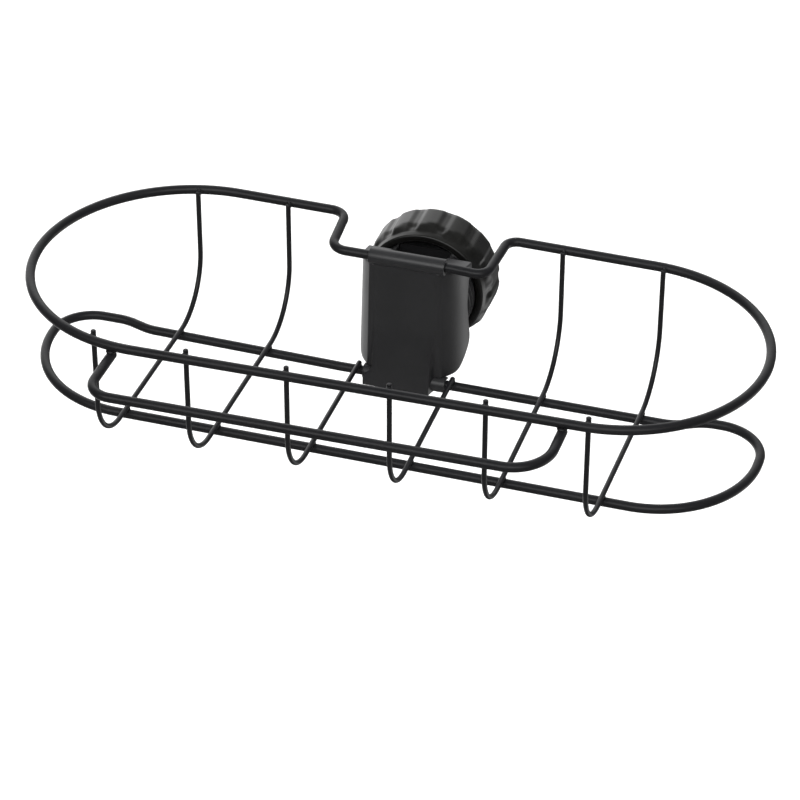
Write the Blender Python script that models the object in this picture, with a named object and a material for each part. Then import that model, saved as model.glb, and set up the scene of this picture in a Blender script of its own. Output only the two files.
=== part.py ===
"""Wire rack that hangs on the round neck of a faucet.

Frame: the origin is on the neck's axis, level with the middle of the clamp.
+X is to the right, +Y points away from the basket, +Z is up. Metres.
"""
import math

import bmesh
import bpy
from mathutils import Matrix, Vector

# Wires and the clearance between pieces that touch
THICK_WIRE = 0.0048          # diameter of the ring and rail wire, over its coating
THIN_WIRE = 0.0026           # diameter of the basket wires
SEAT_GAP = 0.0003            # clearance left where one piece lies on another

# The basket's two rings and its towel rail, all on wire centre lines
RING_LENGTH = 0.3695
RING_LEFT_WIDTH = 0.1526     # the loop narrows a little towards its right end
RING_RIGHT_WIDTH = 0.1452
RING_SHIFT = 0.0062          # the top ring's middle lies this far right of the neck
NOTCH_BACK_WIDTH = 0.0857
NOTCH_RECESS_WIDTH = 0.0797
NOTCH_RIGHT_SHIFT = 0.00135   # the right corner stands this much further out
NOTCH_LEAN = 0.0014          # and this much further forward than the left one
LEAN_START = 0.0235          # where the wire turns forward, beside the sleeve
LEAN_RADIUS = 0.0300
NOTCH_DEPTH = 0.0348
NOTCH_LEFT_RADIUS = 0.0090
NOTCH_RIGHT_RADIUS = 0.0065
BASKET_DEPTH = 0.0687        # top ring down to the rear rail of the bottom ring
BOTTOM_LENGTH = 0.3736
BOTTOM_WIDTH = 0.0726
BOTTOM_SWELL = 0.0072        # the ends reach this far behind the rear rail
BOTTOM_RADII = (0.0240, 0.0525, 0.0590, 0.0200)   # rear right, then clockwise from above
SWELL_RADIUS = 0.0250
SWELL_OUTER_REACH = 0.0328   # from the ring's end to where the swell begins
SWELL_INNER_REACH = 0.0468   # from the ring's end to where the swell is over
REAR_RAIL_BOW = 0.0024       # left of the clamp the rear rail runs back by this much
BOW_START = 0.0340           # left of the neck
BOW_RADIUS = 0.0800
BACK_BEND = 0.0304           # bend radius of a basket wire behind the floor
FRONT_BEND = 0.0250
FRONT_TIP = 0.0028           # the front ends stand this far above the ring's middle
BACK_TIP = 0.0008
SHORT_WIRE_TIP = 0.0010      # the two short wires end this far behind the rear rail
WIRE_BACK_SHARES = (-0.3287, -0.1983, -0.0663, 0.0671, 0.1955, 0.3350)
WIRE_FRONT_SHARES = (-0.3327, -0.2028, -0.0672, 0.0699, 0.1960, 0.3288)
RAIL_REACH = 0.0342          # towel rail in front of the top ring
RAIL_WIDTH = 0.2216
RAIL_SHIFT = -0.0006
RAIL_LEFT_RADIUS = 0.0120
RAIL_RIGHT_RADIUS = 0.0200
RAIL_OVERLAP = 0.0015        # the rail's ends reach this far inside the ring's middle

# The clamp: neck, jaws and body
NECK_DIAMETER = 0.0250       # neck that fits at rest
NECK_PLAY = 0.0004
THROAT_WIDTH = 0.0280        # slot between the two threaded legs
JAW_PAD_THICKNESS = 0.0025
JAW_PAD_WIDTH = 0.0240
JAW_PAD_HEIGHT = 0.0520
JAW_POCKET_DEPTH = 0.0008
PAD_EDGE = 0.0006
WALL_THICKNESS = 0.0052
HOUSING_WIDTH = 0.0560       # level with the neck's middle, at the rear edges
HOUSING_FRONT_WIDTH = 0.0384
FLANK_BULGE = 0.0023         # how far each curved flank stands out from a flat one
FLANK_STEPS = 10
FLANK_SPREAD_SHARE = 0.033   # the flanks spread by this share down to the bottom
HOUSING_BOTTOM = 0.0303      # below the neck's middle, at the front
HOUSING_TOP = 0.0317         # above the neck's middle, at the front
SHOULDER_DROP = 0.0064       # the top slopes down by this much towards the nut
SHOULDER_HEIGHT = 0.0050
SHOULDER_REAR = 0.0060       # behind the neck's axis
HOUSING_REAR = 0.0008
HOUSING_WAIST = 0.0026       # the rear edge is hollowed by this much
WAIST_HEIGHT = 0.0050
STEP_HEIGHT = 0.0182
HEEL_HEIGHT = -0.0172
HEEL_FRONT = 0.0077          # the sloping underside ends this far behind the front
HEEL_BOTTOM_RISE = 0.0003
HEEL_RADIUS = 0.0080
PLATE_WIDTH = 0.0380
PLATE_STEP = 0.0005          # the front plate stands proud of the housing
PLATE_EDGE = 0.0012
SLEEVE_RADIUS = 0.0042
TOP_SLEEVE_WIDTH = 0.0408
BOTTOM_SLEEVE_WIDTH = 0.0436
RECESS_INSET = 0.0025        # recess wire behind the housing's front
REAR_RAIL_INSET = 0.0007     # rear rail of the bottom ring behind the same front
SNAP_MOUTH = 0.0034          # slot through which a wire snaps into its sleeve

# The screw thread, the grip nut and the pressure block
THREAD_CREST_RADIUS = 0.0270
THREAD_DEPTH = 0.0014
THREAD_LEAD = 0.0040
THREAD_ROOT_WIDTH = 0.0024
THREAD_CREST_WIDTH = 0.0012
THREAD_START = 0.0030
LEG_ROOT = 0.0060            # the legs and the bore between them begin this far
LEG_END = 0.0250             # in front of the neck's axis and end this far behind it
LEG_THICKNESS = 0.0031
NUT_FRONT = 0.0130
NUT_DEPTH = 0.0250
NUT_RADIUS = 0.0338
NUT_RIM_RADIUS = 0.0302
NUT_SHOULDER = 0.0095        # from the front rim to the full radius
NUT_SHOULDER_TURN = math.radians(62.0)   # of its curve, which leaves a crease behind it
NUT_REAR_ROUND = 0.0026
NUT_CLEARANCE = 0.0004
NUT_BORE_CHAMFER = 0.0007
NUT_BACK_THICKNESS = 0.0025
NUT_DISH_DEPTH = 0.0025
NUT_DISH_RADIUS = 0.0230
NUT_DISH_SLOPE = 0.0012
GRIP_COUNT = 14
GRIP_DEPTH = 0.0010
GRIP_TURN = math.radians(98.4)
GRIP_SHARES = (0.0, 0.0, 0.0, 0.0, 0.0, 0.3, 1.0, 1.0)   # of the groove's depth
RIB_SHARES = (1.0, 1.0, 0.0, 0.0, 0.0, 0.0, 0.0, 0.0)    # of the rib's height
RIB_FRONT = 0.0012           # from the front rim to the foot of a rib
RIB_RISE = 0.0028            # length of a rib's sloping front end
BLOCK_RADIUS_GAP = 0.0005
BLOCK_WING_HEIGHT = 0.0230
BLOCK_WALL = 0.0025
PRESSURE_PAD_THICKNESS = 0.0020
PRESSURE_PAD_WIDTH = 0.0220
PRESSURE_PAD_HEIGHT = 0.0360
STUD_RADIUS = 0.0041
STUD_LIP = 0.0009
STUD_LIP_THICKNESS = 0.0018
STUD_SLOT = 0.0010

# Fineness of the round shapes
ARC_STEP = math.radians(9.0)
THICK_SIDES = 4              # bevel resolution: 12 sides
THIN_SIDES = 2               # bevel resolution: 8 sides
ROUND_SIDES = 64
THREAD_STEPS = 40
OVERRUN = 0.0040             # how far a cutter runs past what it cuts

# Places that follow from the sizes above
PAD_FACE_Y = -NECK_DIAMETER / 2
WALL_INNER_Y = PAD_FACE_Y - (JAW_PAD_THICKNESS + SEAT_GAP - JAW_POCKET_DEPTH)
FRONT_Y = WALL_INNER_Y - WALL_THICKNESS
RECESS_Y = FRONT_Y + RECESS_INSET
RING_BACK_Y = RECESS_Y + NOTCH_DEPTH
RING_Y = RING_BACK_Y - (RING_LEFT_WIDTH + RING_RIGHT_WIDTH) / 4
REAR_RAIL_Y = FRONT_Y + REAR_RAIL_INSET
FRONT_RAIL_Y = REAR_RAIL_Y - BOTTOM_WIDTH
RING_Z = BASKET_DEPTH / 2
FLOOR_RAIL_Z = RING_Z - BASKET_DEPTH
NUT_BORE_RADIUS = THREAD_CREST_RADIUS + NUT_CLEARANCE
NUT_REAR = NUT_FRONT + NUT_DEPTH
NUT_BACK_OUTER = NUT_REAR - NUT_DISH_DEPTH
NUT_BACK_INNER = NUT_BACK_OUTER - NUT_BACK_THICKNESS
PRESS_FACE_Y = NECK_DIAMETER / 2 + NECK_PLAY
BLOCK_FRONT = PRESS_FACE_Y + PRESSURE_PAD_THICKNESS + SEAT_GAP
BLOCK_REAR = NUT_BACK_INNER - SEAT_GAP
LEG_BORE_RADIUS = THREAD_CREST_RADIUS - THREAD_DEPTH - LEG_THICKNESS

# Colours, roughness and metallic value of the finishes
FINISHES = {
    "powder_coat": ((0.012, 0.012, 0.013, 1.0), 0.32, 0.0),
    "black_plastic": ((0.016, 0.016, 0.017, 1.0), 0.28, 0.0),
    "grip_plastic": ((0.020, 0.020, 0.020, 1.0), 0.42, 0.0),
    "rubber": ((0.030, 0.030, 0.031, 1.0), 0.75, 0.0),
}


def clear_scene():
    for thing in list(bpy.data.objects):
        bpy.data.objects.remove(thing, do_unlink=True)


def finish(name):
    """The named finish as a material, made once."""
    known = bpy.data.materials.get(name)
    if known:
        return known
    colour, roughness, metallic = FINISHES[name]
    made = bpy.data.materials.new(name)
    made.use_nodes = True
    shader = made.node_tree.nodes["Principled BSDF"]
    shader.inputs["Base Color"].default_value = colour
    shader.inputs["Roughness"].default_value = roughness
    shader.inputs["Metallic"].default_value = metallic
    return made


def add_object(name, data, material=None):
    thing = bpy.data.objects.new(name, data)
    bpy.context.scene.collection.objects.link(thing)
    if material:
        data.materials.append(finish(material))
    return thing


def object_from_bmesh(name, shape, material=None):
    """Make an object of a closed bmesh, with its normals turned outwards."""
    bmesh.ops.recalc_face_normals(shape, faces=shape.faces)
    if shape.calc_volume(signed=True) < 0:
        bmesh.ops.reverse_faces(shape, faces=shape.faces)
    mesh = bpy.data.meshes.new(name)
    shape.to_mesh(mesh)
    shape.free()
    mesh.shade_smooth()
    mesh.set_sharp_from_angle(angle=math.radians(32.0))
    return add_object(name, mesh, material)


def combine(target, tool, operation):
    """Add a Boolean with a helper object, which is then kept out of the part."""
    step = target.modifiers.new(tool.name, "BOOLEAN")
    step.operation = operation
    step.solver = "EXACT"
    step.object = tool
    tool.hide_render = True
    tool.display_type = "WIRE"


def rounded(points, radii, closed=False):
    """A line through flat points whose corners are arcs of the given radii."""
    count = len(points)
    line = []
    for i, (point, radius) in enumerate(zip(points, radii)):
        here = Vector(point)
        if radius == 0 or (not closed and i in (0, count - 1)):
            line.append(here)
            continue
        before = (Vector(points[i - 1]) - here).normalized()
        after = (Vector(points[(i + 1) % count]) - here).normalized()
        half = math.acos(max(-1.0, min(1.0, before.dot(after)))) / 2
        turn = math.pi - 2 * half
        middle = here + (before + after).normalized() * (radius / math.sin(half))
        start = here + before * (radius / math.tan(half)) - middle
        end = here + after * (radius / math.tan(half)) - middle
        steps = max(2, round(turn / ARC_STEP))
        for k in range(steps + 1):
            share = k / steps
            weight_a = math.sin((1 - share) * turn) / math.sin(turn)
            weight_b = math.sin(share * turn) / math.sin(turn)
            line.append(middle + start * weight_a + end * weight_b)
    return line


def wire(name, points, thickness, sides, closed, material="powder_coat"):
    """A round wire along the points, with closed ends."""
    curve = bpy.data.curves.new(name, "CURVE")
    curve.dimensions = "3D"
    curve.bevel_depth = thickness / 2
    curve.bevel_resolution = sides
    curve.use_fill_caps = not closed
    spline = curve.splines.new("POLY")
    spline.points.add(len(points) - 1)
    for target, point in zip(spline.points, points):
        target.co = (point[0], point[1], point[2], 1.0)
    spline.use_cyclic_u = closed
    return add_object(name, curve, material)


def prism(name, outline, low, high, turn=None):
    """Extrude a flat outline from low to high along Z, then turn it into place."""
    shape = bmesh.new()
    ring = [shape.verts.new((x, y, low)) for x, y in outline]
    bottom = shape.faces.new(ring)
    grown = bmesh.ops.extrude_face_region(shape, geom=[bottom])
    raised = [v for v in grown["geom"] if isinstance(v, bmesh.types.BMVert)]
    bmesh.ops.translate(shape, verts=raised, vec=(0, 0, high - low))
    if turn is not None:
        shape.transform(turn)
    return object_from_bmesh(name, shape)


def box(name, low, high):
    outline = [(low[0], low[1]), (high[0], low[1]), (high[0], high[1]), (low[0], high[1])]
    return prism(name, outline, low[2], high[2])


def circle(radius, sides=ROUND_SIDES):
    steps = [2 * math.pi * i / sides for i in range(sides)]
    return [(radius * math.cos(a), radius * math.sin(a)) for a in steps]


# Turns that lay a prism's Z along X or along Y
ALONG_X = Matrix(((0, 0, 1, 0), (1, 0, 0, 0), (0, 1, 0, 0), (0, 0, 0, 1)))
ALONG_Y = Matrix(((1, 0, 0, 0), (0, 0, 1, 0), (0, -1, 0, 0), (0, 0, 0, 1)))


def rod_along_x(name, radius, reach, y, z, sides):
    rod = prism(name, circle(radius, sides), -reach, reach, ALONG_X)
    rod.data.transform(Matrix.Translation((0, y, z)))
    return rod


def rod_along_y(name, radius, low, high, sides=ROUND_SIDES):
    return prism(name, circle(radius, sides), low, high, ALONG_Y)


def ring_reach(x):
    """Half the top ring's width at x, from its long middle to the wire's centre line."""
    left_radius = RING_LEFT_WIDTH / 2
    right_radius = RING_RIGHT_WIDTH / 2
    left = RING_SHIFT - RING_LENGTH / 2 + left_radius
    right = RING_SHIFT + RING_LENGTH / 2 - right_radius
    share = max(0.0, min(1.0, (x - left) / (right - left)))
    radius = left_radius + (right_radius - left_radius) * share
    beyond = x - (left + (right - left) * share)
    return math.sqrt(radius ** 2 - beyond ** 2)


def top_ring():
    """Long loop with round ends and a notch at the back for the clamp."""
    left_radius = RING_LEFT_WIDTH / 2
    right_radius = RING_RIGHT_WIDTH / 2
    left = RING_SHIFT - RING_LENGTH / 2 + left_radius
    right = RING_SHIFT + RING_LENGTH / 2 - right_radius
    taper = math.asin((left_radius - right_radius) / (right - left))
    line = notch_line()
    for centre, radius, start, turn in (
            (left, left_radius, math.pi / 2 - taper, math.pi + 2 * taper),
            (right, right_radius, -math.pi / 2 + taper, math.pi - 2 * taper)):
        steps = round(turn / ARC_STEP)
        for k in range(steps + 1):
            angle = start + turn * k / steps
            x = centre + radius * math.cos(angle)
            y = RING_Y + radius * math.sin(angle)
            line.append(Vector((x, y)))
    wire("top_ring", [(p.x, p.y, RING_Z) for p in line], THICK_WIRE, THICK_SIDES, True)


def notch_line():
    """The notch from right to left, as the loop runs."""
    back = NOTCH_BACK_WIDTH / 2
    deep = NOTCH_RECESS_WIDTH / 2
    left = NOTCH_LEFT_RADIUS
    right = NOTCH_RIGHT_RADIUS
    lead_in = back + 2 * left
    corners = [(x, RING_Y + ring_reach(x)) for x in (lead_in, back, -back, -lead_in)]
    recess = [(deep + NOTCH_RIGHT_SHIFT, RECESS_Y - NOTCH_LEAN),
              (LEAN_START, RECESS_Y), (-deep, RECESS_Y)]
    bends = (0, right, right, LEAN_RADIUS, left, left, 0)
    return rounded(corners[:2] + recess + corners[2:], bends)


def bottom_ring():
    """Loop under the floor, whose ends swell behind its rear rail."""
    end = BOTTOM_LENGTH / 2
    swell = REAR_RAIL_Y + BOTTOM_SWELL
    outer = end - SWELL_OUTER_REACH
    inner = end - SWELL_INNER_REACH
    bowed = REAR_RAIL_Y + REAR_RAIL_BOW
    corners = [
        (inner, REAR_RAIL_Y, SWELL_RADIUS),
        (outer, swell, SWELL_RADIUS),
        (end, swell, BOTTOM_RADII[0]),
        (end, FRONT_RAIL_Y, BOTTOM_RADII[1]),
        (-end, FRONT_RAIL_Y, BOTTOM_RADII[2]),
        (-end, swell, BOTTOM_RADII[3]),
        (-outer, swell, SWELL_RADIUS),
        (-inner, bowed, SWELL_RADIUS),
        (-BOW_START, REAR_RAIL_Y, BOW_RADIUS),
    ]
    line = rounded([c[:2] for c in corners], [c[2] for c in corners], closed=True)
    wire("bottom_ring", [(p.x, p.y, FLOOR_RAIL_Z) for p in line], THICK_WIRE, THICK_SIDES, True)


def towel_rail():
    """U-shaped rail under the front of the top ring, parallel to it."""
    left = RAIL_SHIFT - RAIL_WIDTH / 2
    right = RAIL_SHIFT + RAIL_WIDTH / 2
    corners = []
    for x, reach in ((left, -RAIL_OVERLAP), (left, RAIL_REACH), (right, RAIL_REACH),
                     (right, -RAIL_OVERLAP)):
        corners.append((x, RING_Y - ring_reach(x) - reach))
    line = rounded(corners, (0, RAIL_LEFT_RADIUS, RAIL_RIGHT_RADIUS, 0))
    z = RING_Z - THICK_WIRE - SEAT_GAP
    wire("towel_rail", [(p.x, p.y, z) for p in line], THICK_WIRE, THICK_SIDES, False)


def basket_wires():
    """Six thin wires: four span the basket, two short ones begin beside the clamp."""
    lift = (THICK_WIRE + THIN_WIRE) / 2 + SEAT_GAP
    floor = FLOOR_RAIL_Z + lift
    places = zip(WIRE_BACK_SHARES, WIRE_FRONT_SHARES)
    for number, (back_share, front_share) in enumerate(places, start=1):
        back_x = back_share * RING_LENGTH
        front_x = front_share * RING_LENGTH
        front = RING_Y - ring_reach(front_x) + lift
        back = RING_Y + ring_reach(back_x) - lift
        tail = [(front, floor), (front, RING_Z + FRONT_TIP)]
        if abs(back_x) < BOTTOM_SLEEVE_WIDTH:
            start = REAR_RAIL_Y + SHORT_WIRE_TIP
            points = [(start, floor)] + tail
            line = rounded(points, (0, FRONT_BEND, 0))
        else:
            points = [(back, RING_Z + BACK_TIP), (back, floor)] + tail
            line = rounded(points, (0, BACK_BEND, FRONT_BEND, 0))
        lean = (front_x - back_x) / (front - back)
        route = [(back_x + lean * (p.x - back), p.x, p.y) for p in line]
        wire(f"basket_wire_{number}", route, THIN_WIRE, THIN_SIDES, False)


def housing_plan():
    """Outline from above: flat front, straight back and two curved flanks."""
    half = HOUSING_WIDTH / 2
    front = Vector((HOUSING_FRONT_WIDTH / 2, FRONT_Y))
    rear = Vector((half, HOUSING_REAR))
    outward = Vector((rear.y - front.y, front.x - rear.x)).normalized()
    flank = []
    for k in range(FLANK_STEPS + 1):
        share = k / FLANK_STEPS
        bulge = FLANK_BULGE * math.sin(math.pi * share)
        flank.append(front.lerp(rear, share) + outward * bulge)
    flank.append(Vector((half, SHOULDER_REAR)))
    mirrored = [Vector((-p.x, p.y)) for p in reversed(flank)]
    return flank + mirrored


def housing_side():
    """Outline from the side, as Y and Z: sloping top, hollow rear edge, sloping heel."""
    shoulder_top = HOUSING_TOP - SHOULDER_DROP
    front = FRONT_Y - OVERRUN
    points = [
        (front, HOUSING_TOP + SHOULDER_DROP * OVERRUN / (SHOULDER_REAR - FRONT_Y)),
        (SHOULDER_REAR, shoulder_top),
        (SHOULDER_REAR, shoulder_top - SHOULDER_HEIGHT),
        (HOUSING_REAR, STEP_HEIGHT),
        (HOUSING_REAR - HOUSING_WAIST, WAIST_HEIGHT),
        (HOUSING_REAR, HEEL_HEIGHT),
        (FRONT_Y + HEEL_FRONT, HEEL_BOTTOM_RISE - HOUSING_BOTTOM),
        (FRONT_Y, -HOUSING_BOTTOM),
        (front, -HOUSING_BOTTOM),
    ]
    radii = (0, PLATE_EDGE, 0, 0, 0, HEEL_RADIUS, HEEL_RADIUS, 0, 0)
    return rounded(points, radii, closed=True)


def thread_ridge():
    """One start of thread around the legs, as a helical bar sunk into them."""
    crest = THREAD_CREST_RADIUS
    tip = THREAD_CREST_WIDTH / 2
    root = THREAD_ROOT_WIDTH / 2
    sunk_share = 1.5
    base = tip + (root - tip) * sunk_share
    sunk = crest - THREAD_DEPTH * sunk_share
    section = [(sunk, -base), (crest, -tip), (crest, tip), (sunk, base)]
    turns = (LEG_END - THREAD_START - THREAD_ROOT_WIDTH) / THREAD_LEAD
    steps = round(turns * THREAD_STEPS)
    shape = bmesh.new()
    rings = []
    for k in range(steps + 1):
        angle = 2 * math.pi * (k + 0.5) / THREAD_STEPS
        along = THREAD_START + base + THREAD_LEAD * k / THREAD_STEPS
        rings.append([shape.verts.new((r * math.cos(angle), along + y, -r * math.sin(angle)))
                      for r, y in section])
    for first, second in zip(rings, rings[1:]):
        for i in range(len(section)):
            j = (i + 1) % len(section)
            shape.faces.new((first[i], first[j], second[j], second[i]))
    shape.faces.new(rings[0])
    shape.faces.new(reversed(rings[-1]))
    return object_from_bmesh("thread_ridge", shape)


def clamp_body():
    """Moulded body: front plate, housing, two threaded legs and the wire sleeves."""
    tall = 2 * BASKET_DEPTH
    deep = LEG_END + OVERRUN
    body = prism("clamp_body", housing_plan(), -tall, tall)
    body.data.materials.append(finish("black_plastic"))
    for vertex in body.data.vertices:
        vertex.co.x *= 1 - FLANK_SPREAD_SHARE * vertex.co.z / HOUSING_BOTTOM
    side = prism("housing_side", housing_side(), -HOUSING_WIDTH, HOUSING_WIDTH, ALONG_X)
    combine(body, side, "INTERSECT")
    root = THREAD_CREST_RADIUS - THREAD_DEPTH
    combine(body, front_plate(), "UNION")
    tube = rod_along_y("leg_tube", root, -LEG_ROOT, LEG_END, THREAD_STEPS)
    combine(body, tube, "UNION")
    combine(body, thread_ridge(), "UNION")
    half = THROAT_WIDTH / 2
    throat = box("throat", (-half, WALL_INNER_Y, -tall), (half, deep, tall))
    combine(body, throat, "DIFFERENCE")
    combine(body, rod_along_y("leg_bore", LEG_BORE_RADIUS, -LEG_ROOT, deep), "DIFFERENCE")
    sleeves = (("top", TOP_SLEEVE_WIDTH, RECESS_Y, RING_Z),
               ("bottom", BOTTOM_SLEEVE_WIDTH, REAR_RAIL_Y, FLOOR_RAIL_Z))
    sides = ROUND_SIDES // 2
    for name, width, y, z in sleeves:
        sleeve = rod_along_x(f"{name}_sleeve", SLEEVE_RADIUS, width / 2, y, z, sides)
        combine(body, sleeve, "UNION")
    for name, width, y, z in sleeves:
        channel = THICK_WIRE / 2 + SEAT_GAP
        bore = rod_along_x(f"{name}_channel", channel, HOUSING_WIDTH, y, z, sides)
        combine(body, bore, "DIFFERENCE")
        low = (-HOUSING_WIDTH, y, z - SNAP_MOUTH / 2)
        high = (HOUSING_WIDTH, y + SLEEVE_RADIUS + OVERRUN, z + SNAP_MOUTH / 2)
        combine(body, box(f"{name}_mouth", low, high), "DIFFERENCE")
    x = JAW_PAD_WIDTH / 2 + SEAT_GAP
    z = JAW_PAD_HEIGHT / 2 + SEAT_GAP
    low = (-x, WALL_INNER_Y - JAW_POCKET_DEPTH, -z)
    combine(body, box("jaw_pocket", low, (x, WALL_INNER_Y + OVERRUN, z)), "DIFFERENCE")


def front_plate():
    """Flat plate that carries both sleeves, slightly proud of the housing."""
    x = PLATE_WIDTH / 2
    low = FRONT_Y - PLATE_STEP
    inner = WALL_INNER_Y + PLATE_STEP
    corners = [(x, inner), (-x, inner), (-x, low), (x, low)]
    outline = rounded(corners, (0, 0, PLATE_EDGE, PLATE_EDGE), closed=True)
    return prism("front_plate", outline, FLOOR_RAIL_Z, RING_Z)


def softened_box(name, low, high, edge, material):
    """Box whose edges are rounded by a bevel."""
    thing = box(name, low, high)
    thing.data.materials.append(finish(material))
    bevel = thing.modifiers.new("edges", "BEVEL")
    bevel.width = edge
    bevel.segments = 2
    bevel.limit_method = "ANGLE"
    return thing


def fixed_jaw_pad():
    """Rubber pad in the shallow pocket of the front wall."""
    x = JAW_PAD_WIDTH / 2
    z = JAW_PAD_HEIGHT / 2
    low = (-x, PAD_FACE_Y - JAW_PAD_THICKNESS, -z)
    softened_box("fixed_jaw_pad", low, (x, PAD_FACE_Y, z), PAD_EDGE, "rubber")


def pressure_pad():
    """Rubber pad on the front of the pressure block."""
    x = PRESSURE_PAD_WIDTH / 2
    z = PRESSURE_PAD_HEIGHT / 2
    low = (-x, PRESS_FACE_Y, -z)
    high = (x, PRESS_FACE_Y + PRESSURE_PAD_THICKNESS, z)
    softened_box("pressure_pad", low, high, PAD_EDGE, "rubber")


def block_outline():
    """Front view of the pressure block: two round cheeks, a wing above and one below."""
    radius = LEG_BORE_RADIUS - BLOCK_RADIUS_GAP
    wing = THROAT_WIDTH / 2 - SEAT_GAP
    swing = math.acos(wing / radius)
    steps = round(2 * swing / ARC_STEP)
    outline = []
    for side in (1, -1):
        for k in range(steps + 1):
            angle = swing * (2 * k / steps - 1)
            outline.append((side * radius * math.cos(angle), side * radius * math.sin(angle)))
        outline.append((side * wing, side * BLOCK_WING_HEIGHT))
        outline.append((-side * wing, side * BLOCK_WING_HEIGHT))
    return outline


def pressure_block():
    """Block between the legs; its wings ride in the slot and stop it turning."""
    block = prism("pressure_block", block_outline(), BLOCK_FRONT, BLOCK_REAR, ALONG_Y)
    block.data.materials.append(finish("black_plastic"))
    hollow_radius = LEG_BORE_RADIUS - BLOCK_RADIUS_GAP - BLOCK_WALL
    floor = BLOCK_FRONT + BLOCK_WALL
    hollow = rod_along_y("block_hollow", hollow_radius, floor, BLOCK_REAR + OVERRUN)
    combine(block, hollow, "DIFFERENCE")
    combine(block, stud(), "UNION")
    reach = STUD_RADIUS + STUD_LIP + OVERRUN
    half = STUD_SLOT / 2
    for name, across, tall in (("upright_slot", half, reach), ("level_slot", reach, half)):
        low = (-across, NUT_BACK_INNER, -tall)
        high = (across, NUT_REAR + OVERRUN, tall)
        combine(block, box(name, low, high), "DIFFERENCE")


def stud():
    """Stud that snaps through the nut's back wall, with a lip tapered to its end."""
    lip = NUT_BACK_OUTER + SEAT_GAP
    profile = [
        (STUD_RADIUS, BLOCK_FRONT + BLOCK_WALL / 2),
        (STUD_RADIUS, lip),
        (STUD_RADIUS + STUD_LIP, lip),
        (STUD_RADIUS, lip + STUD_LIP_THICKNESS),
    ]
    shape = bmesh.new()
    rings = []
    for radius, along in profile:
        ring = [shape.verts.new((x, along, z)) for x, z in circle(radius, ROUND_SIDES // 2)]
        rings.append(ring)
    bmesh.ops.contextual_create(shape, geom=rings[0])
    bmesh.ops.contextual_create(shape, geom=rings[-1])
    for first, second in zip(rings, rings[1:]):
        for i in range(len(first)):
            shape.faces.new((first[i - 1], first[i], second[i], second[i - 1]))
    return object_from_bmesh("stud", shape)


def shoulder_radius(along):
    """Radius of the nut's rounded front between its ribs."""
    turn = NUT_SHOULDER_TURN * (along - NUT_FRONT) / NUT_SHOULDER
    share = math.sin(turn) / math.sin(NUT_SHOULDER_TURN)
    return NUT_RIM_RADIUS + (NUT_RADIUS - NUT_RIM_RADIUS) * share


def nut_profile():
    """The nut's section: radius, place along Y, groove share, and a rib's height there."""
    hole = STUD_RADIUS + SEAT_GAP
    front = [(NUT_BORE_RADIUS + NUT_BORE_CHAMFER, NUT_FRONT, 0, 0),
             (NUT_RIM_RADIUS - NUT_BORE_CHAMFER, NUT_FRONT, 0, 0)]
    raised = NUT_FRONT + RIB_FRONT + RIB_RISE
    for along in (NUT_FRONT + NUT_BORE_CHAMFER, NUT_FRONT + RIB_FRONT, raised,
                  NUT_FRONT + NUT_SHOULDER / 2, NUT_FRONT + NUT_SHOULDER):
        radius = shoulder_radius(along)
        rise = NUT_RADIUS - radius if along >= raised else 0
        front.append((radius, along, 1, rise))
    return front + [
        (NUT_RADIUS, NUT_REAR - NUT_REAR_ROUND, 1, 0),
        (NUT_RADIUS - NUT_REAR_ROUND / 3, NUT_REAR - NUT_REAR_ROUND / 3, 1, 0),
        (NUT_RADIUS - NUT_REAR_ROUND, NUT_REAR, 0, 0),
        (NUT_DISH_RADIUS, NUT_REAR, 0, 0),
        (NUT_DISH_RADIUS - NUT_DISH_SLOPE, NUT_BACK_OUTER, 0, 0),
        (hole, NUT_BACK_OUTER, 0, 0),
        (hole, NUT_BACK_INNER, 0, 0),
        (NUT_BORE_RADIUS, NUT_BACK_INNER, 0, 0),
        (NUT_BORE_RADIUS, NUT_FRONT + NUT_BORE_CHAMFER, 0, 0),
    ]


def clamp_nut():
    """Cap nut whose grip has a rib beside each groove, all around."""
    shape = bmesh.new()
    samples = GRIP_COUNT * len(GRIP_SHARES)
    profile = nut_profile()
    columns = []
    for k in range(samples):
        angle = GRIP_TURN - 2 * math.pi * k / samples
        sink = GRIP_DEPTH * GRIP_SHARES[k % len(GRIP_SHARES)]
        lift_share = RIB_SHARES[k % len(RIB_SHARES)]
        column = []
        for radius, along, share, rise in profile:
            r = radius - sink * share + rise * lift_share
            column.append(shape.verts.new((r * math.cos(angle), along, r * math.sin(angle))))
        columns.append(column)
    for k in range(samples):
        first = columns[k]
        second = columns[(k + 1) % samples]
        for i in range(len(profile)):
            j = (i + 1) % len(profile)
            shape.faces.new((first[i], first[j], second[j], second[i]))
    object_from_bmesh("clamp_nut", shape, "grip_plastic")


def main():
    clear_scene()
    top_ring()
    bottom_ring()
    towel_rail()
    basket_wires()
    clamp_body()
    fixed_jaw_pad()
    pressure_block()
    pressure_pad()
    clamp_nut()


main()
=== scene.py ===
import math

import bmesh
import bpy
from mathutils import Matrix, Vector


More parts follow.
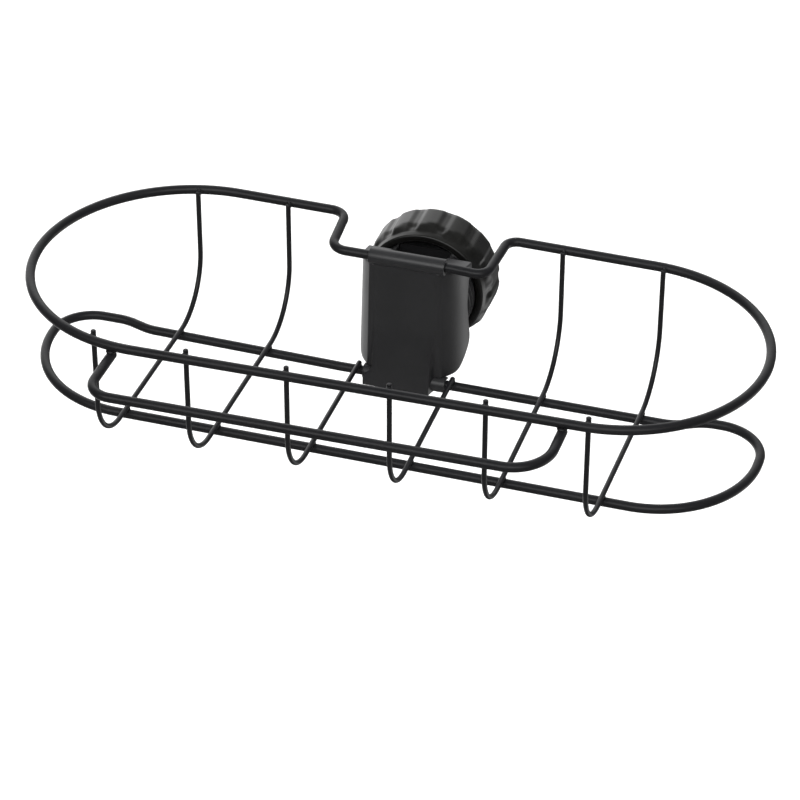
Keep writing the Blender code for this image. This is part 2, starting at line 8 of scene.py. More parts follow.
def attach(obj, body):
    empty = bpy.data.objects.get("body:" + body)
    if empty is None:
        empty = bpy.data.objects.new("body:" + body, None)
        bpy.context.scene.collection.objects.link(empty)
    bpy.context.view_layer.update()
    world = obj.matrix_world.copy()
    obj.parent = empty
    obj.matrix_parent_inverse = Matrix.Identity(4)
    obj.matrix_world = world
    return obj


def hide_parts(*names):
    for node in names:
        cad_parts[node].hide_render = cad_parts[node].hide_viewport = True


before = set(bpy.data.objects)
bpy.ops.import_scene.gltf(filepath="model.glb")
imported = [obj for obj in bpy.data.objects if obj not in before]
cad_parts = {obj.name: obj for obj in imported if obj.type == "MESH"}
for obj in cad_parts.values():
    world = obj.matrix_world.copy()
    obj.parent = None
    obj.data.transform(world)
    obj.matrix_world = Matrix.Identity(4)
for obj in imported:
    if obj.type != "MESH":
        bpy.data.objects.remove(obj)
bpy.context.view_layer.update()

# Camera: a long lens from the front right and above, turned a little, as the
# picture was taken. Its directions come from its compass angle and height, and it
# aims near the middle of the upper loop.
azimuth = math.radians(17.353)
elevation = math.radians(34.509)
roll = math.radians(0.155)
aim = Vector((0, -0.0569, 0.03435))
distance, moved_right, moved_down = 1.54271, 0.008618, 0.047489
away = Vector((math.sin(azimuth) * math.cos(elevation),
               -math.cos(azimuth) * math.cos(elevation), math.sin(elevation)))
level = Vector((math.cos(azimuth), math.sin(azimuth), 0))
upward = away.cross(level)
camera_right = level * math.cos(roll) + upward * math.sin(roll)
camera_up = upward * math.cos(roll) - level * math.sin(roll)
camera_data = bpy.data.cameras.new("camera")
camera_data.sensor_width = 36
camera_data.lens = 142.75
camera_data.clip_end = 60
camera = bpy.data.objects.new("camera", camera_data)
bpy.context.scene.collection.objects.link(camera)
camera.matrix_world = Matrix((camera_right, camera_up, away)).transposed().to_4x4()
camera.location = (aim + away * distance + camera_right * moved_right
                   - camera_up * moved_down)
bpy.context.scene.camera = camera
bpy.context.scene.view_settings.view_transform = "Standard"


# Finishes. Each is a Principled material; what varies over a surface is worked
# out from its own coordinates with noise, sums and products of sockets.
class Socket:
    """One output in a finish's nodes. Sums and products of it add Math nodes."""

    def __init__(self, tree, output=None):
        self.tree = tree
        self.output = output

    def node(self, kind, settings, sockets, output=0):
        """Any other node, with its settings first and then its sockets' values or links."""
        made = self.tree.nodes.new(kind)
        for name, value in settings.items():
            setattr(made, name, value)
        for name, value in sockets.items():
            if isinstance(value, Socket):
                self.tree.links.new(value.output, made.inputs[name])
            else:
                made.inputs[name].default_value = value
        return Socket(self.tree, made.outputs[output])

    def maths(self, operation, first, second):
        return self.node("ShaderNodeMath", {"operation": operation}, {0: first, 1: second})

    def __add__(self, other):
        return self.maths("ADD", self, other)

    __radd__ = __add__

    def __sub__(self, other):
        return self.maths("SUBTRACT", self, other)

    def __rsub__(self, other):
        return self.maths("SUBTRACT", other, self)

    def __mul__(self, other):
        return self.maths("MULTIPLY", self, other)

    __rmul__ = __mul__

    def above(self, low, high):
        """0 below low, 1 over high, and smooth between them."""
        return self.node("ShaderNodeMapRange", {"interpolation_type": "SMOOTHSTEP"},
                         {"Value": self, "From Min": low, "From Max": high})


def finish(name, colour, roughness, **constants):
    """A Principled material whose constant values are set on its own sockets."""
    made = bpy.data.materials.new(name)
    made.use_nodes = True
    shader = made.node_tree.nodes["Principled BSDF"]
    shader.inputs["Base Color"].default_value = (*colour, 1)
    shader.inputs["Roughness"].default_value = roughness
    for socket, value in constants.items():
        shader.inputs[socket.replace("_", " ")].default_value = value
    return made, Socket(made.node_tree), shader.inputs


def grain(start, size, detail=2.0, roughness=0.5):
    """Soft noise whose lumps are about size metres across."""
    place = start.node("ShaderNodeTexCoord", {}, {}, "Object")
    return start.node("ShaderNodeTexNoise", {}, {
        "Vector": place, "Scale": 0.6 / size, "Detail": detail, "Roughness": roughness}, 0)


def tinted(start, share, dark, light):
    """A colour between dark and light."""
    return start.node("ShaderNodeMix", {"data_type": "RGBA"}, {
        0: share, "A": (*dark, 1), "B": (*light, 1)}, "Result")


# Powder coat on the steel wires: baked paint with a soft gloss, faintly lumpy
# like orange peel, with dull patches where the spray was thin.
powder_coat, coat, powder_sockets = finish(
    "powder_coat", (0.009, 0.009, 0.010), 0.42, Specular_IOR_Level=0.3)
peel = grain(coat, 0.0011)
patches = grain(coat, 0.018, 3.0)
speckle = grain(coat, 0.0004, 1.0)
for socket, value in (
        ("Base Color", tinted(coat, patches, (0.006, 0.006, 0.007), (0.012, 0.012, 0.013))),
        ("Roughness", 0.28 + patches * 0.16 + speckle * 0.04),
        ("Normal", coat.node("ShaderNodeBump", {}, {
            "Strength": 0.35, "Distance": 0.0002, "Height": peel + speckle * 0.25}))):
    powder_coat.node_tree.links.new(value.output, powder_sockets[socket])


# Upper loop: thick steel wire bent on a CNC bender into a long ring with round
# ends, then bent in at the back round the clamp, and butt-welded shut.
def bend_at(before, corner, after, radius):
    """Where a bend starts, its middle, its turning axis and its angle."""
    inwards = (corner - before).normalized()
    outwards = (after - corner).normalized()
    angle = inwards.angle(outwards)
    if radius == 0 or angle < 0.001:
        return corner, None, None, 0
    axis = inwards.cross(outwards).normalized()
    start = corner - inwards * radius * math.tan(angle / 2)
    return start, start + axis.cross(inwards) * radius, axis, angle


def bent_wire(corners, diameter, sides, closed):
    """Wire fed straight and bent round pins: its end ring is pushed on and spun."""
    places = [Vector(corner[:3]) for corner in corners]
    radii = [corner[3] for corner in corners]
    count = len(places)
    here = places[0]
    stops = range(1, count)
    if closed:
        start, middle, axis, angle = bend_at(places[-1], places[0], places[1], radii[0])
        here = middle + Matrix.Rotation(angle, 3, axis) @ (start - middle)
        stops = list(stops) + [0]
    along = (places[1] - here).normalized()
    shape = bmesh.new()
    face_along = along.to_track_quat("Z", "Y").to_matrix().to_4x4()
    bmesh.ops.create_circle(shape, segments=sides, radius=diameter / 2,
                            matrix=Matrix.Translation(here) @ face_along)
    rim = shape.edges[:]
    for stop in stops:
        start, middle, axis, angle = places[stop], None, None, 0
        if closed or stop < count - 1:
            start, middle, axis, angle = bend_at(
                places[stop - 1], places[stop], places[(stop + 1) % count], radii[stop])
        if (start - here).length > 0.00001:
            grown = bmesh.ops.extrude_edge_only(shape, edges=rim)["geom"]
            pushed = [g for g in grown if isinstance(g, bmesh.types.BMVert)]
            bmesh.ops.translate(shape, verts=pushed, vec=start - here)
            rim = [g for g in grown if isinstance(g, bmesh.types.BMEdge)
                   and all(v in pushed for v in g.verts)]
            here = start
        if angle:
            steps = max(3, round(angle * diameter ** 0.5 / 0.0035))
            turned = bmesh.ops.spin(shape, geom=rim, cent=middle, axis=axis,
                                    angle=angle, steps=steps)["geom_last"]
            rim = [g for g in turned if isinstance(g, bmesh.types.BMEdge)]
            here = middle + Matrix.Rotation(angle, 3, axis) @ (here - middle)
    if closed:
        bmesh.ops.remove_doubles(shape, verts=shape.verts, dist=0.00002)
    else:
        caps = bmesh.ops.holes_fill(shape, edges=[e for e in shape.edges if e.is_boundary])
        rims = list({e for face in caps["faces"] for e in face.edges})
        bmesh.ops.bevel(shape, geom=rims, offset=diameter * 0.16, offset_type="OFFSET",
                        affect="EDGES", segments=3, profile=0.5, material=-1)
    return shape


def piece(name, shape, material, body, replaces=()):
    """A finished piece: faces turned outwards, smooth, riding on its body."""
    bmesh.ops.recalc_face_normals(shape, faces=shape.faces)
    mesh = bpy.data.meshes.new(name)
    shape.to_mesh(mesh)
    shape.free()
    mesh.materials.append(material)
    mesh.shade_smooth()
    mesh.set_sharp_from_angle(angle=math.radians(40))
    made = bpy.data.objects.new(name, mesh)
    bpy.context.scene.collection.objects.link(made)
    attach(made, body)
    if replaces:
        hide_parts(*replaces)
    return made


thick = 0.0048
ring_height = 0.03435
ring_corners = [
    (0.04285, 0.01702, 0.0065), (0.04120, -0.01860, 0.0065), (0.02350, -0.01720, 0.0300),
    (-0.03985, -0.01720, 0.0090), (-0.04285, 0.01845, 0.0090),
    (-0.17855, 0.02074, 0.0763), (-0.17855, -0.13444, 0.0763),
    (0.19095, -0.12824, 0.0726), (0.19095, 0.01454, 0.0726)]
upper_loop = bent_wire([(x, y, ring_height, r) for x, y, r in ring_corners], thick, 24, True)
piece("upper_loop", upper_loop, powder_coat, "rack", ["top_ring"])

# Lower loop: the same wire, bent to a longer and narrower ring that carries the
# floor. Its rear run bows out at both ends, and left of the clamp it bows a little.
floor_corners = [
    (0.14000, -0.01900, 0.0250), (0.15400, -0.01180, 0.0250),
    (0.18680, -0.01180, 0.0240), (0.18680, -0.09160, 0.0525),
    (-0.18680, -0.09160, 0.0590), (-0.18680, -0.01180, 0.0200),
    (-0.15400, -0.01180, 0.0250), (-0.14000, -0.01660, 0.0250),
    (-0.03400, -0.01900, 0.0800)]
lower_loop = bent_wire([(x, y, -ring_height, r) for x, y, r in floor_corners], thick, 24, True)
piece("lower_loop", lower_loop, powder_coat, "rack", ["bottom_ring"])

# Towel rail: one U of the same wire, with its two ends welded under the front of
# the upper loop, so that a cloth can hang over it.
rail_corners = [
    (-0.11140, -0.13110, 0.02925, 0), (-0.11140, -0.16680, 0.02925, 0.0120),
    (0.11020, -0.16379, 0.02925, 0.0200), (0.11020, -0.12809, 0.02925, 0)]
piece("front_rail", bent_wire(rail_corners, thick, 24, False), powder_coat,
      "rack", ["towel_rail"])

# Basket wires: thin wire, cut square, bent to a U and spot-welded inside both
# loops. The two beside the clamp have no rear upright and start on the rear run.
thin = 0.0026
floor_height = -0.03035
back_bend, front_bend = 0.0304, 0.0250
back_tip, front_tip = ring_height + 0.0008, ring_height + 0.0028
basket_ends = [
    ((-0.12145, 0.01299), (-0.12293, -0.12629)), ((-0.07327, 0.01496), (-0.07493, -0.12869)),
    ((-0.02457, -0.01800), (-0.02483, -0.12785)), ((0.02502, -0.01800), (0.02583, -0.12700)),
    ((0.07224, 0.01252), (0.07242, -0.12622)), ((0.12378, 0.01155), (0.12149, -0.12538))]
for number, (back, front) in enumerate(basket_ends, start=1):
    corners = [(*back, floor_height, 0), (*front, floor_height, front_bend),
               (*front, front_tip, 0)]
    if back[1] > 0:
        corners[0] = (*back, floor_height, back_bend)
        corners.insert(0, (*back, back_tip, 0))
    piece(f"cross_wire_{number}", bent_wire(corners, thin, 16, False), powder_coat,
          "rack", [f"basket_wire_{number}"])

# Welds: at each crossing the current melts a little of both wires, which sets as
# a low saddle between them, and the powder coat rounds it off.
welds = bmesh.new()
thin_bead, rail_bead = (0.0021, 0.0015, 0.0011), (0.0031, 0.0026, 0.0013)
bead_drop = thin / 2 + 0.0002
front_run, rear_run, clamp_run = -0.0916, -0.0175, -0.0190


def weld(place, pressed, along, size):
    """A flattened bead at a contact: pressed is across the gap, along the thin wire."""
    side = pressed.cross(along)
    turn = Matrix((along, side, pressed)).transposed().to_4x4()
    bmesh.ops.create_icosphere(
        welds, subdivisions=3, radius=1,
        matrix=Matrix.Translation(place) @ turn @ Matrix.Diagonal((*size, 1)))


up = Vector((0, 0, 1))
to_back = Vector((0, 1, 0))
for back, front in basket_ends:
    run = Vector((front[0] - back[0], front[1] - back[1], 0))
    weld(Vector((front[0], front[1] - bead_drop, ring_height)), to_back, up, thin_bead)
    for crossing in (front_run, rear_run if back[1] > 0 else clamp_run):
        on_loop = Vector((*back, floor_height)) + run * (crossing - back[1]) / run.y
        weld(on_loop - up * bead_drop, up, run.normalized(), thin_bead)
    if back[1] > 0:
        weld(Vector((back[0], back[1] + bead_drop, ring_height)), to_back, up, thin_bead)
for x, y in ((-0.11140, -0.13260), (0.11020, -0.12959)):
    weld(Vector((x, y, 0.0318)), up, to_back, rail_bead)
piece("weld_beads", welds, powder_coat, "rack")

# Clamp body: one moulding of black plastic with the front plate, the sleeves
# that snap over the wires, the housing and two legs that carry the thread.
black_plastic, moulded, plastic_sockets = finish(
    "black_plastic", (0.016, 0.016, 0.017), 0.3, Specular_IOR_Level=0.5)
flow = grain(moulded, 0.012, 3.0)
skin = grain(moulded, 0.0006, 2.0)
for socket, value in (
        ("Base Color", tinted(moulded, flow, (0.013, 0.013, 0.014), (0.020, 0.020, 0.021))),
        ("Roughness", 0.26 + flow * 0.14 + skin * 0.05),
        ("Normal", moulded.node("ShaderNodeBump", {}, {
            "Strength": 0.2, "Distance": 0.0001, "Height": skin}))):
    black_plastic.node_tree.links.new(value.output, plastic_sockets[socket])


def eased(value, low, high):
    """0 below low, 1 over high, and smooth between them."""
    share = min(1, max(0, (value - low) / (high - low)))
    return share * share * (3 - 2 * share)


def sloped(value, low, high):
    """0 below low, 1 over high, and straight between, with small rounds at both ends."""
    share = min(1, max(0, (value - low) / (high - low)))
    return 0.7 * share + 0.3 * share * share * (3 - 2 * share)


def softened(shape, edges, width, segments=3):
    """Rounds the given edges, as the mould's own corners are rounded."""
    bmesh.ops.bevel(shape, geom=edges, offset=width, offset_type="OFFSET", affect="EDGES",
                    segments=segments, profile=0.5, material=-1)


def sharp_edges(shape):
    """The edges where two faces meet at a real corner."""
    return [e for e in shape.edges
            if len(e.link_faces) == 2 and e.calc_face_angle() > math.radians(40)]


def cut_across(shape, normal, places):
    """Cuts the whole shape along planes, so that it can be bent between them."""
    for place in places:
        everything = shape.verts[:] + shape.edges[:] + shape.faces[:]
        bmesh.ops.bisect_plane(shape, geom=everything, dist=0.00001,
                               plane_co=Vector(normal) * place, plane_no=normal)


def raised_face(shape, outline, reach):
    """A flat outline made a face and pushed out along reach."""
    face = shape.faces.new([shape.verts.new(point) for point in outline])
    grown = bmesh.ops.extrude_face_region(shape, geom=[face])["geom"]
    bmesh.ops.translate(shape, vec=reach,
                        verts=[g for g in grown if isinstance(g, bmesh.types.BMVert)])
    bmesh.ops.recalc_face_normals(shape, faces=shape.faces)


def rounded_outline(corners):
    """Flat corners (first, second, radius) with their bends drawn as short steps."""
    line = []
    count = len(corners)
    flat = [Vector((a, b, 0)) for a, b, radius in corners]
    for k, (a, b, radius) in enumerate(corners):
        start, middle, axis, angle = bend_at(flat[k - 1], flat[k], flat[(k + 1) % count], radius)
        steps = math.ceil(math.degrees(angle) / 6) if angle else 0
        line.append(start)
        for step in range(1, steps + 1):
            turn = Matrix.Rotation(angle * step / steps, 3, axis)
            line.append(middle + turn @ (start - middle))
    return line


# The flanks: each starts as the housing's side view, is pushed out to a wall,
# gets soft edges, and is then bulged to the plan of the housing. Its front corner
# is round, and it narrows a little upwards.
wall_start, wall_rough, leg_bore = 0.014, 0.010, 0.0225
wall_front, wall_depth = -0.0197, 0.0205
front_half, rear_half, belly, lean_back = 0.0192, 0.0280, 0.002114, 0.000906
corner_half, corner_middle, corner_end, corner_radius = 0.0174, -0.0172, -0.0190, 0.0030
flank_top, flank_taper = 0.0303, 0.033
side_view = rounded_outline([
    (-0.02018, 0.0317, 0.0010), (0.0060, 0.0253, 0.0012), (0.0060, 0.0203, 0.0006),
    (0.0008, 0.0182, 0.0010), (-0.0018, 0.0050, 0.0120), (0.0008, -0.0172, 0.0080),
    (-0.0120, -0.0300, 0.0080), (-0.02018, -0.0303, 0.0006)])


def flank_reach(along, height):
    """Half the housing's width at a place from front to back and a height."""
    share = (along - wall_front) / wall_depth
    for _ in range(8):
        shift = lean_back * math.sin(math.pi * min(1, share))
        share = (along - wall_front + shift) / wall_depth
    share = min(1, max(0, share))
    reach = front_half + (rear_half - front_half) * share + belly * math.sin(math.pi * share)
    if along < corner_end:
        reach = corner_half + math.sqrt(
            max(0, corner_radius ** 2 - (along - corner_middle) ** 2))
    return reach * (1 - flank_taper * height / flank_top)


def throat_reach(along, height):
    """Half the throat's width: the neck's slot in front, the legs' round bore behind."""
    if along < -0.0060 or abs(height) > 0.0176:
        return wall_start
    return max(wall_start, math.sqrt(leg_bore ** 2 - height ** 2))


clamp = bmesh.new()
raised_face(clamp, [(wall_start, p.x, p.y) for p in side_view], (wall_rough, 0, 0))
softened(clamp, sharp_edges(clamp), 0.0007)
cut_across(clamp, (0, 1, 0), [-0.0190 + 0.0010 * k for k in range(25)]
           + [-0.0197, -0.0193, -0.0061, -0.0059])
cut_across(clamp, (0, 0, 1), [-0.0280 + 0.0020 * k for k in range(30)])
for corner in clamp.verts:
    across, along, height = corner.co
    if across > wall_start + wall_rough / 2:
        corner.co.x = flank_reach(along, height) - (wall_start + wall_rough - across)
    else:
        corner.co.x = throat_reach(along, height) + across - wall_start
bmesh.ops.mirror(clamp, geom=clamp.verts[:] + clamp.edges[:] + clamp.faces[:],
                 axis="X", merge_dist=0.000001)

# The front wall: a plate from sleeve to sleeve, with a shallow pocket for the
# rubber facing on its inner side. Its lower half slopes forward over the sleeve,
# with a raised edge on the right and a wider foot on the left.
plate_half, plate_front, plate_rear = 0.0165, -0.0202, -0.0145
plate_top, plate_foot, foot_reach, foot_widening = 0.0330, -0.0385, 0.0050, 0.0045
pocket_half, pocket_end, pocket_depth = 0.0123, 0.0263, 0.0008
plate = bmesh.new()
bmesh.ops.create_cube(plate, size=1, matrix=Matrix.Translation(
    (0, (plate_front + plate_rear) / 2, (plate_top + plate_foot) / 2)) @ Matrix.Diagonal(
    (2 * plate_half, plate_rear - plate_front, plate_top - plate_foot, 1)))
softened(plate, [e for e in plate.edges if abs(e.verts[0].co.z - e.verts[1].co.z) > 0.01
                 and e.verts[0].co.y < -0.018], 0.0006, 2)
cut_across(plate, (1, 0, 0), (-pocket_half, pocket_half))
cut_across(plate, (0, 0, 1), (-pocket_end, pocket_end))
pocket = [f for f in plate.faces if f.normal.y > 0.9 and f.calc_center_median().length < 0.02
          and abs(f.calc_center_median().x) < 0.001 and abs(f.calc_center_median().z) < 0.001]
sunk_faces = bmesh.ops.extrude_discrete_faces(plate, faces=pocket)["faces"]
bmesh.ops.translate(plate, verts=[v for f in sunk_faces for v in f.verts],
                    vec=(0, -pocket_depth, 0))
cut_across(plate, (1, 0, 0), [0.0141 + 0.0003 * k for k in range(6)])
cut_across(plate, (0, 0, 1), [-0.0375 + 0.0015 * k for k in range(24)])
for corner in plate.verts:
    if corner.co.y < -0.0190:
        corner.co.y -= (foot_reach * eased(-corner.co.z, 0.0020, -plate_foot)
                        * (1 - eased(corner.co.x, 0.0138, 0.0158)))
    if corner.co.x < -wall_start:
        corner.co.x -= foot_widening * eased(-corner.co.z, 0.0290, 0.0345)

# The sleeves: two C-shaped tubes of the same moulding, at the top and the foot of
# the plate, that snap over the thick wires.
sleeve_radius, sleeve_bore = 0.0042, 0.0027
sleeves = bmesh.new()
for left_end, right_end, along, height in ((-0.0190, 0.0204, -0.0172, 0.03435),
                                           (-0.0218, 0.0218, -0.0190, -0.03435)):
    around = [math.radians(a) for a in range(24, 337, 8)]
    within = [math.radians(a) for a in range(321, 38, -8)]
    outline = [(left_end, along + radius * math.cos(a), height + radius * math.sin(a))
               for radius, arc in ((sleeve_radius, around), (sleeve_bore, within)) for a in arc]
    tube = bmesh.new()
    raised_face(tube, outline, (right_end - left_end, 0, 0))
    softened(tube, sharp_edges(tube), 0.0003)
    tube.to_mesh(bpy.data.meshes.new("sleeve"))
    sleeves.from_mesh(bpy.data.meshes["sleeve"])
    bpy.data.meshes.remove(bpy.data.meshes["sleeve"])


# The legs: two halves of one threaded tube either side of the throat. Its outer
# wall is turned fine enough for the coarse round-topped thread to be raised on it.
leg_front, leg_rear, thread_root = -0.0065, 0.0250, 0.0256
thread_lead, thread_start, thread_rise = 0.0040, 0.00445, 0.0014


def leg(side):
    """The half of the threaded tube on one side, 1 or -1."""
    section = [(leg_bore, leg_front), (thread_root, leg_front)]
    section += [(thread_root, leg_front + 0.0005 + 0.0004 * k) for k in range(77)]
    section += [(thread_root - 0.0004, leg_rear), (leg_bore + 0.0003, leg_rear),
                (leg_bore, leg_rear - 0.0003)]
    tube = bmesh.new()
    rim = [tube.verts.new((radius, along, 0)) for radius, along in section]
    outline = [tube.edges.new(pair) for pair in zip(rim, rim[1:] + rim[:1])]
    bmesh.ops.spin(tube, geom=rim + outline, cent=(0, 0, 0), axis=(0, 1, 0),
                   angle=2 * math.pi, steps=160, use_merge=True)
    for corner in tube.verts:
        x, along, z = corner.co
        if math.hypot(x, z) > thread_root - 0.0001:
            turns = -math.atan2(z, x) / (2 * math.pi)
            phase = (along - thread_start) / thread_lead - turns
            off_crest = abs((phase + 0.5) % 1 - 0.5) * thread_lead
            rise = thread_rise * (1 - eased(off_crest, 0.0005, 0.0013))
            rise *= eased(along, 0.0026, 0.0036) * (1 - eased(along, 0.0232, 0.0240))
            corner.co.x *= 1 + rise / thread_root
            corner.co.z *= 1 + rise / thread_root
    bmesh.ops.recalc_face_normals(tube, faces=tube.faces)
    everything = tube.verts[:] + tube.edges[:] + tube.faces[:]
    bmesh.ops.bisect_plane(tube, geom=everything, plane_co=(side * wall_start, 0, 0),
                           plane_no=(side, 0, 0), clear_inner=True)
    bmesh.ops.holes_fill(tube, edges=[e for e in tube.edges if e.is_boundary])
    return tube


def gathered(shapes):
    """Several closed shapes of one moulding in one mesh."""
    whole = bmesh.new()
    for shape in shapes:
        bmesh.ops.recalc_face_normals(shape, faces=shape.faces)
        held = bpy.data.meshes.new("held")
        shape.to_mesh(held)
        shape.free()
        whole.from_mesh(held)
        bpy.data.meshes.remove(held)
    return whole


piece("clamp_moulding", gathered([clamp, plate, sleeves, leg(1), leg(-1)]), black_plastic,
      "rack", ["clamp_body"])

# Rubber facings of the jaws: soft black rubber with a matte moulded skin, pressed
# into the front wall's pocket and onto the pressure block.
rubber, soft, rubber_sockets = finish("rubber", (0.03, 0.03, 0.031), 0.75)
bloom = grain(soft, 0.004, 3.0)
pores = grain(soft, 0.0005, 2.0)
for socket, value in (
        ("Base Color", tinted(soft, bloom, (0.024, 0.024, 0.025), (0.040, 0.040, 0.041))),
        ("Roughness", 0.68 + bloom * 0.16),
        ("Normal", soft.node("ShaderNodeBump", {}, {
            "Strength": 0.4, "Distance": 0.0002, "Height": pores}))):
    rubber.node_tree.links.new(value.output, rubber_sockets[socket])
for node in ("fixed_jaw_pad", "pressure_pad"):
    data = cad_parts[node].data
    data.materials.clear()
    data.materials.append(rubber)

# Pressure block: the moulded block that the nut pushes against the neck. Its stud
# snaps through the nut's back wall, and its wings ride in the slot of the legs.
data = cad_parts["pressure_block"].data
data.materials.clear()
data.materials.append(black_plastic)

# Cap nut: a deep moulded cap, turned in section, with a coarse thread inside. Its
# front narrows to a lip. Fourteen raised ribs outside each have a finger groove
# along their left side, and its back wall is dished and holds the block's stud.
grip_plastic, satin, grip_sockets = finish(
    "grip_plastic", (0.020, 0.020, 0.020), 0.42, Specular_IOR_Level=0.5)
shade = grain(satin, 0.010, 3.0)
satin_skin = grain(satin, 0.0005, 2.0)
for socket, value in (
        ("Base Color", tinted(satin, shade, (0.004, 0.004, 0.004), (0.009, 0.009, 0.008))),
        ("Roughness", 0.22 + shade * 0.12 + satin_skin * 0.05),
        ("Normal", satin.node("ShaderNodeBump", {}, {
            "Strength": 0.3, "Distance": 0.0001, "Height": satin_skin}))):
    grip_plastic.node_tree.links.new(value.output, grip_sockets[socket])

nut_front, nut_rear, nut_radius, rim_radius = 0.0130, 0.0380, 0.0338, 0.0302
bore_radius, stud_hole, wall_inside, dish = 0.0274, 0.0044, 0.0330, 0.0355
rear_round, rim_round = 0.0030, 0.0010
cone_rear, cone_front, cone_drop = 0.0227, 0.0168, 0.0021
section = [(stud_hole, wall_inside), (stud_hole, dish - 0.0003), (stud_hole + 0.0003, dish),
           (0.0210, dish), (0.0218, dish + 0.0002), (0.0224, nut_rear - 0.0004),
           (0.0230, nut_rear), (nut_radius - rear_round, nut_rear)]
for k in range(1, 8):
    turn = math.radians(90 * k / 7)
    section.append((nut_radius - rear_round * (1 - math.sin(turn)),
                    nut_rear - rear_round * (1 - math.cos(turn))))
section += [(nut_radius, nut_rear - rear_round - 0.0013 * k) for k in range(1, 9)]
for k in range(15):
    share = k / 14
    section.append((nut_radius - cone_drop * (0.7 * share + 0.3 * share * share),
                    cone_rear + (cone_front - cone_rear) * share))
lip_radius, lip_front = rim_radius + rim_round, nut_front + rim_round
lip_rise, lip_depth = nut_radius - cone_drop - lip_radius, cone_front - lip_front
section += [(lip_radius + lip_rise * k / 4, lip_front + lip_depth * k / 4)
            for k in range(3, -1, -1)]
for k in range(1, 7):
    turn = math.radians(90 * k / 6)
    section.append((rim_radius + rim_round * math.cos(turn),
                    lip_front - rim_round * math.sin(turn)))
section += [(bore_radius + 0.0009, nut_front), (bore_radius + 0.0004, nut_front + 0.0002)]
section += [(bore_radius, nut_front + 0.0006 + 0.0005 * k) for k in range(38)]
section += [(bore_radius, wall_inside - 0.0004), (bore_radius - 0.0004, wall_inside)]
cap = bmesh.new()
rim = [cap.verts.new((radius, along, 0)) for radius, along in section]
outline = [cap.edges.new(pair) for pair in zip(rim, rim[1:] + rim[:1])]
bmesh.ops.spin(cap, geom=rim + outline, cent=(0, 0, 0), axis=(0, 1, 0),
               angle=2 * math.pi, steps=420, use_merge=True)
ribs, first_rib, rib_spacing, groove_depth = 14, math.radians(97.0), 0.01517, 0.0010
pitch = 2 * math.pi / ribs
for corner in cap.verts:
    x, along, z = corner.co
    radius = math.hypot(x, z)
    angle = math.atan2(z, x)
    if radius > rim_radius - 0.0008 and along < nut_rear - 0.0001:
        # how far the place is, along the nut's side, to the right of a rib's line
        right = (first_rib - angle) % pitch / pitch * rib_spacing
        crest = sloped(right, 0.0122, 0.0149) + 1 - eased(right, 0.0012, 0.0058)
        groove = eased(right, 0.0072, 0.0102) - sloped(right, 0.0122, 0.0149)
        raised = eased(along, 0.0156, 0.0222)
        on_side = along < nut_rear - rear_round + 0.0001
        full = nut_radius + 0.0001 - radius if on_side else 0
        sunk = eased(along, 0.0158, 0.0205) * (1 - eased(along, 0.0362, 0.0378))
        share = (radius + full * crest * raised - groove_depth * groove * sunk) / radius
        corner.co = (x * share, along, z * share)
    elif abs(radius - bore_radius) < 0.0001 and along < 0.0325:
        phase = (along - thread_start) / thread_lead + angle / (2 * math.pi)
        from_crest = abs(phase % 1 - 0.5) * thread_lead
        lift = 0.0011 * (1 - eased(from_crest, 0.0003, 0.0010)) * eased(along, 0.0136, 0.0150)
        share = (radius - lift) / radius
        corner.co = (x * share, along, z * share)
piece("cap_nut", cap, grip_plastic, "screw_nut", ["clamp_nut"])

# Studio: a pale floor well under the rack, which hangs, and a pale cloth all
# round, which is only what a camera sees beyond the floor.
floor_level, floor_size, cloth_radius = -0.26, 30, 14.5
bpy.ops.mesh.primitive_plane_add(size=floor_size, location=(0, 0, floor_level))
studio_floor = bpy.context.object
studio_floor.name = "studio_floor"
floor_paint = finish("floor_paint", (0.92, 0.92, 0.92), 0.9)[0]
studio_floor.data.materials.append(floor_paint)
studio_floor.visible_glossy = False

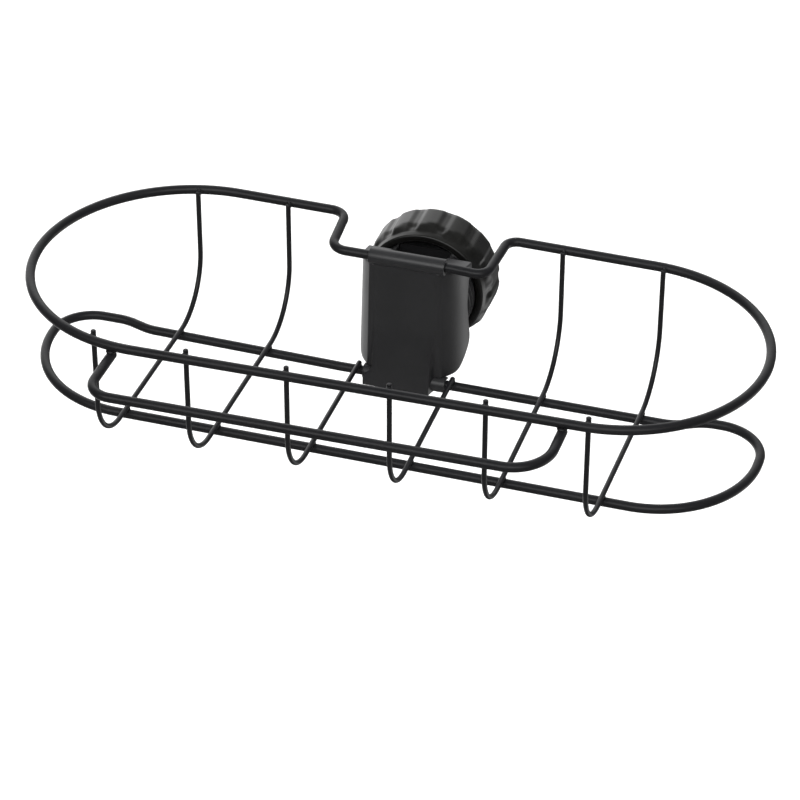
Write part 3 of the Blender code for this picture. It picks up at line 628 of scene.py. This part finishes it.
bpy.ops.mesh.primitive_uv_sphere_add(segments=64, ring_count=32, radius=cloth_radius,
                                     location=(0, 0, floor_level))
backdrop = bpy.context.object
backdrop.name = "backdrop"
pale_cloth = finish("pale_cloth", (0, 0, 0), 1, Specular_IOR_Level=0,
                    Emission_Color=(1, 1, 1, 1), Emission_Strength=0.42)[0]
backdrop.data.materials.append(pale_cloth)
backdrop.visible_diffuse = False
backdrop.visible_glossy = False
backdrop.visible_shadow = False

# The room that the gloss sees: dim, with a pale strip along the side walls low
# down, a pale wall behind on the left, which is dimmer at eye level, a pale floor
# in front, and a bright window high up in front.
world = bpy.data.worlds.new("studio")
bpy.context.scene.world = world
world.use_nodes = True
sky = Socket(world.node_tree)
heading = sky.node("ShaderNodeTexCoord", {}, {}, "Generated")
across, behind, height = [
    sky.node("ShaderNodeSeparateXYZ", {}, {"Vector": heading}, axis) for axis in "XYZ"]
sides = across.above(0.2, 0.42) + 1 - across.above(-0.45, -0.25)
low_wall = (sides * (behind.above(-0.15, 0.6) - behind.above(0.68, 0.84))
            * (1 - height.above(-0.45, -0.2)))
left_wall = (behind.above(0.3, 0.7) * (1 - across.above(-0.6, 0.7))
             * height.above(-0.5, -0.2) * (1 - height.above(0.6, 0.85)))
eye_level = behind.above(0.82, 0.97) * (1 - height.above(-0.05, 0.15))
front_floor = (1 - behind.above(-0.4, 0)) * (1 - height.above(-0.5, -0.2))
front_window = (1 - behind.above(-0.75, -0.5)) * height.above(0.25, 0.45)
brightness = (0.09 + front_floor * 0.14 + low_wall * 1.1
              + left_wall * (1 - eye_level * 0.6) * 1.4 + front_window * 2.8)
room = world.node_tree.nodes["Background"].inputs
world.node_tree.links.new(brightness.output, room["Strength"])
room["Color"].default_value = (1, 1, 1, 1)

# The soft box overhead, which the gloss doesn't show.
soft_box = bpy.data.lights.new("overhead_panel", "AREA")
soft_box.shape = "RECTANGLE"
soft_box.size, soft_box.size_y, soft_box.energy = 2.4, 2.0, 60
overhead = bpy.data.objects.new("overhead_panel", soft_box)
bpy.context.scene.collection.objects.link(overhead)
overhead.location = (0.1, 0.2, 1.6)
overhead.rotation_mode = "QUATERNION"
overhead.rotation_quaternion = (
    overhead.location - Vector((0, -0.05, 0))).to_track_quat("Z", "Y")
overhead.visible_glossy = False
